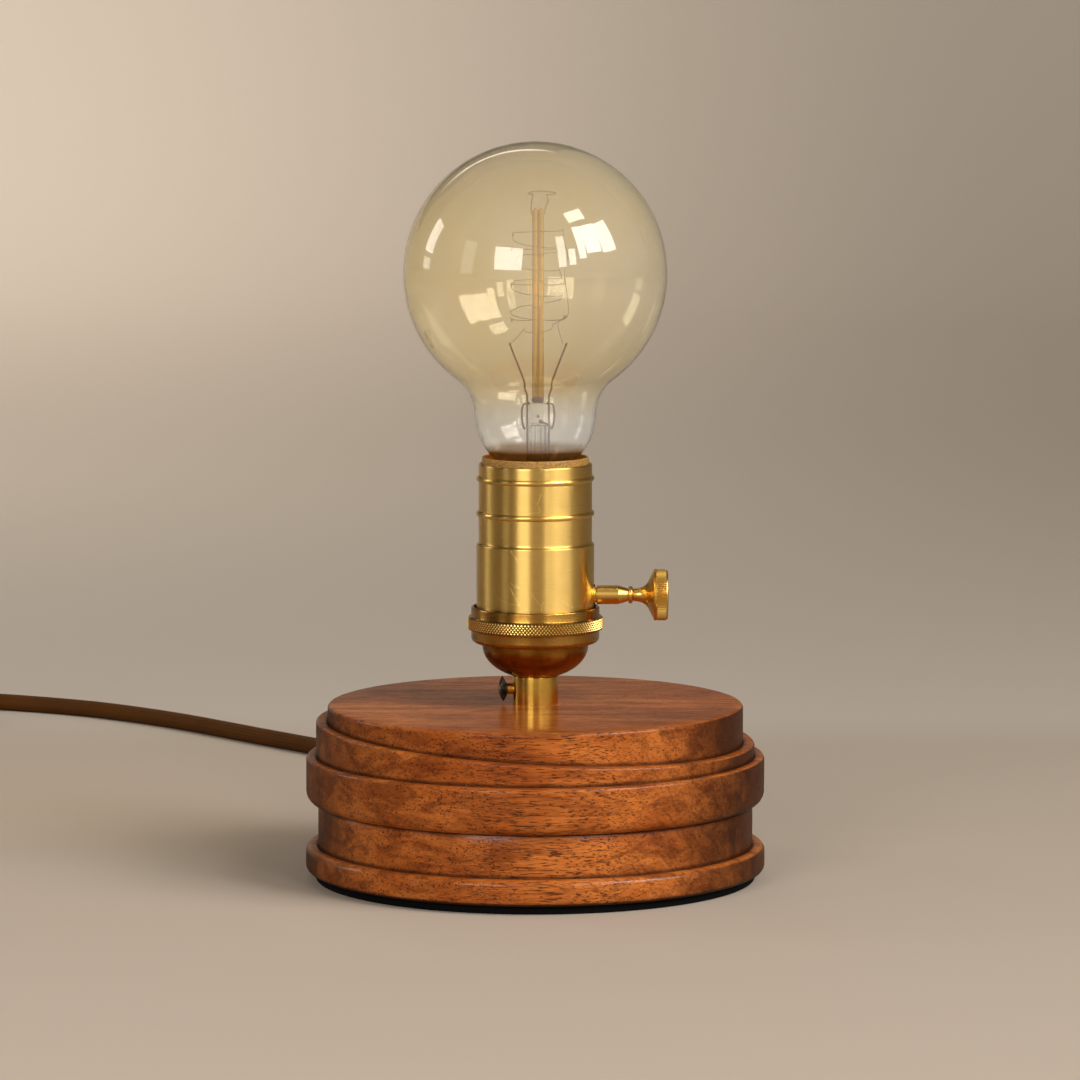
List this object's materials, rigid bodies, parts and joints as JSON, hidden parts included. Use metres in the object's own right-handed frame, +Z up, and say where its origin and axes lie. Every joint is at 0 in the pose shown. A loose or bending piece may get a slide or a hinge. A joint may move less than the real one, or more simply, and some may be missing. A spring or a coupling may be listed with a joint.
{
  "type": "bare bulb table lamp",
  "caption": "Table lamp with a round stepped wooden base, a brass lamp socket with a turn knob switch, a clear amber globe bulb with a caged filament, and a fabric cord with a plug.",
  "frame": {"origin": "on the table, under the centre of the round base", "axes": "+Z up along the lamp's axis, +X towards the switch knob, +Y towards the cord outlet at the back"},
  "size_m": [0.4396, 0.5179, 0.2672],
  "materials": {
    "stained_wood": "satin",
    "pad_rubber": "matte",
    "zinc_steel": "satin",
    "satin_brass": "satin",
    "aged_brass": "satin",
    "thread_brass": "bright",
    "nickel": "satin",
    "black_plastic": "matte",
    "cream_nylon": "matte",
    "black_rubber": "matte",
    "black_insulation": "satin",
    "white_insulation": "satin",
    "brown_fibre": "matte",
    "brown_phenolic": "satin",
    "black_screw": "satin",
    "black_glass_insulator": "gloss",
    "solder": "satin",
    "cap_cement": "matte",
    "amber_glass": "clear",
    "clear_glass": "clear",
    "amber_rod_glass": "clear",
    "support_wire": "satin",
    "filament_wire": "matte",
    "lead_wire": "satin",
    "cord_fabric": "silky",
    "blade_brass": "bright"
  },
  "bodies": {
    "root": {"wood_base": "stained_wood", "base_pad": "pad_rubber", "nipple": "zinc_steel", "nipple_washer": "zinc_steel", "nipple_nut": "zinc_steel", "nipple_bushing": "black_plastic", "cord_inner": "cord_fabric", "cord_clamp": "cream_nylon", "clamp_screws": "zinc_steel", "strain_relief": "black_rubber", "wire_hot": "black_insulation", "wire_neutral": "white_insulation", "cap_hub": "satin_brass", "socket_cap": "aged_brass", "cap_disc": "brown_fibre", "lock_ring": "aged_brass", "socket_shell": "satin_brass", "shell_ferrule": "aged_brass", "insulating_liner": "brown_fibre", "switch_housing": "brown_phenolic", "rotor_bearing": "thread_brass", "screw_shell": "thread_brass", "shell_rivets": "thread_brass", "centre_contact": "thread_brass", "contact_leaf": "thread_brass", "terminal_screw_hot": "thread_brass", "terminal_screw_neutral": "nickel", "cord_run": "cord_fabric", "cord_coil": "cord_fabric", "cord_ties": "black_rubber", "cord_tail": "cord_fabric", "plug_sleeve": "black_rubber", "plug_body": "black_plastic", "plug_cover": "black_plastic", "plug_blades": "blade_brass", "plug_screws": "zinc_steel"},
    "switch": {"switch_rotor": "brown_phenolic", "switch_stem": "zinc_steel", "switch_knob": "aged_brass"},
    "thumb_shank": {"thumb_screw_shank": "satin_brass"},
    "thumb_wing": {"thumb_screw_wing": "black_screw"},
    "bulb_foot": {"bulb_contact": "solder"},
    "bulb": {"bulb_cap": "thread_brass", "bulb_cement": "cap_cement", "bulb_insulator": "black_glass_insulator", "glass_envelope": "amber_glass", "glass_stem": "clear_glass", "glass_press": "clear_glass", "exhaust_tube": "clear_glass", "glass_rod": "amber_rod_glass", "rod_hooks": "support_wire", "top_support": "support_wire", "filament": "filament_wire", "lead_wire_hot": "lead_wire", "lead_wire_neutral": "lead_wire"}
  },
  "joints": [
    {"name": "switch_turn", "type": "hinge", "parent": "root", "child": "switch", "pos_m": [0.03, 0, 0.10318], "axis": [1, 0, 0], "continuous": true},
    {"name": "thumb_screw_slide", "type": "slide", "parent": "root", "child": "thumb_shank", "axis": [-1, 0, 0], "range_m": [0, 0.0021]},
    {"name": "thumb_screw_turn", "type": "hinge", "parent": "thumb_shank", "child": "thumb_wing", "pos_m": [-0.0118, 0, 0.0689], "axis": [-1, 0, 0], "range_deg": [0, 1080]},
    {"name": "bulb_lift", "type": "slide", "parent": "root", "child": "bulb_foot", "axis": [0, 0, 1], "range_m": [0, 0.0182]},
    {"name": "bulb_turn", "type": "hinge", "parent": "bulb_foot", "child": "bulb", "pos_m": [0, 0, 0.2], "axis": [0, 0, 1], "range_deg": [0, 1800]}
  ],
  "couplings": [
    {"joint": "bulb_lift", "follows": "bulb_turn", "m_per_rad": 0.00057757},
    {"joint": "thumb_screw_turn", "follows": "thumb_screw_slide", "rad_per_m": 8976}
  ]
}
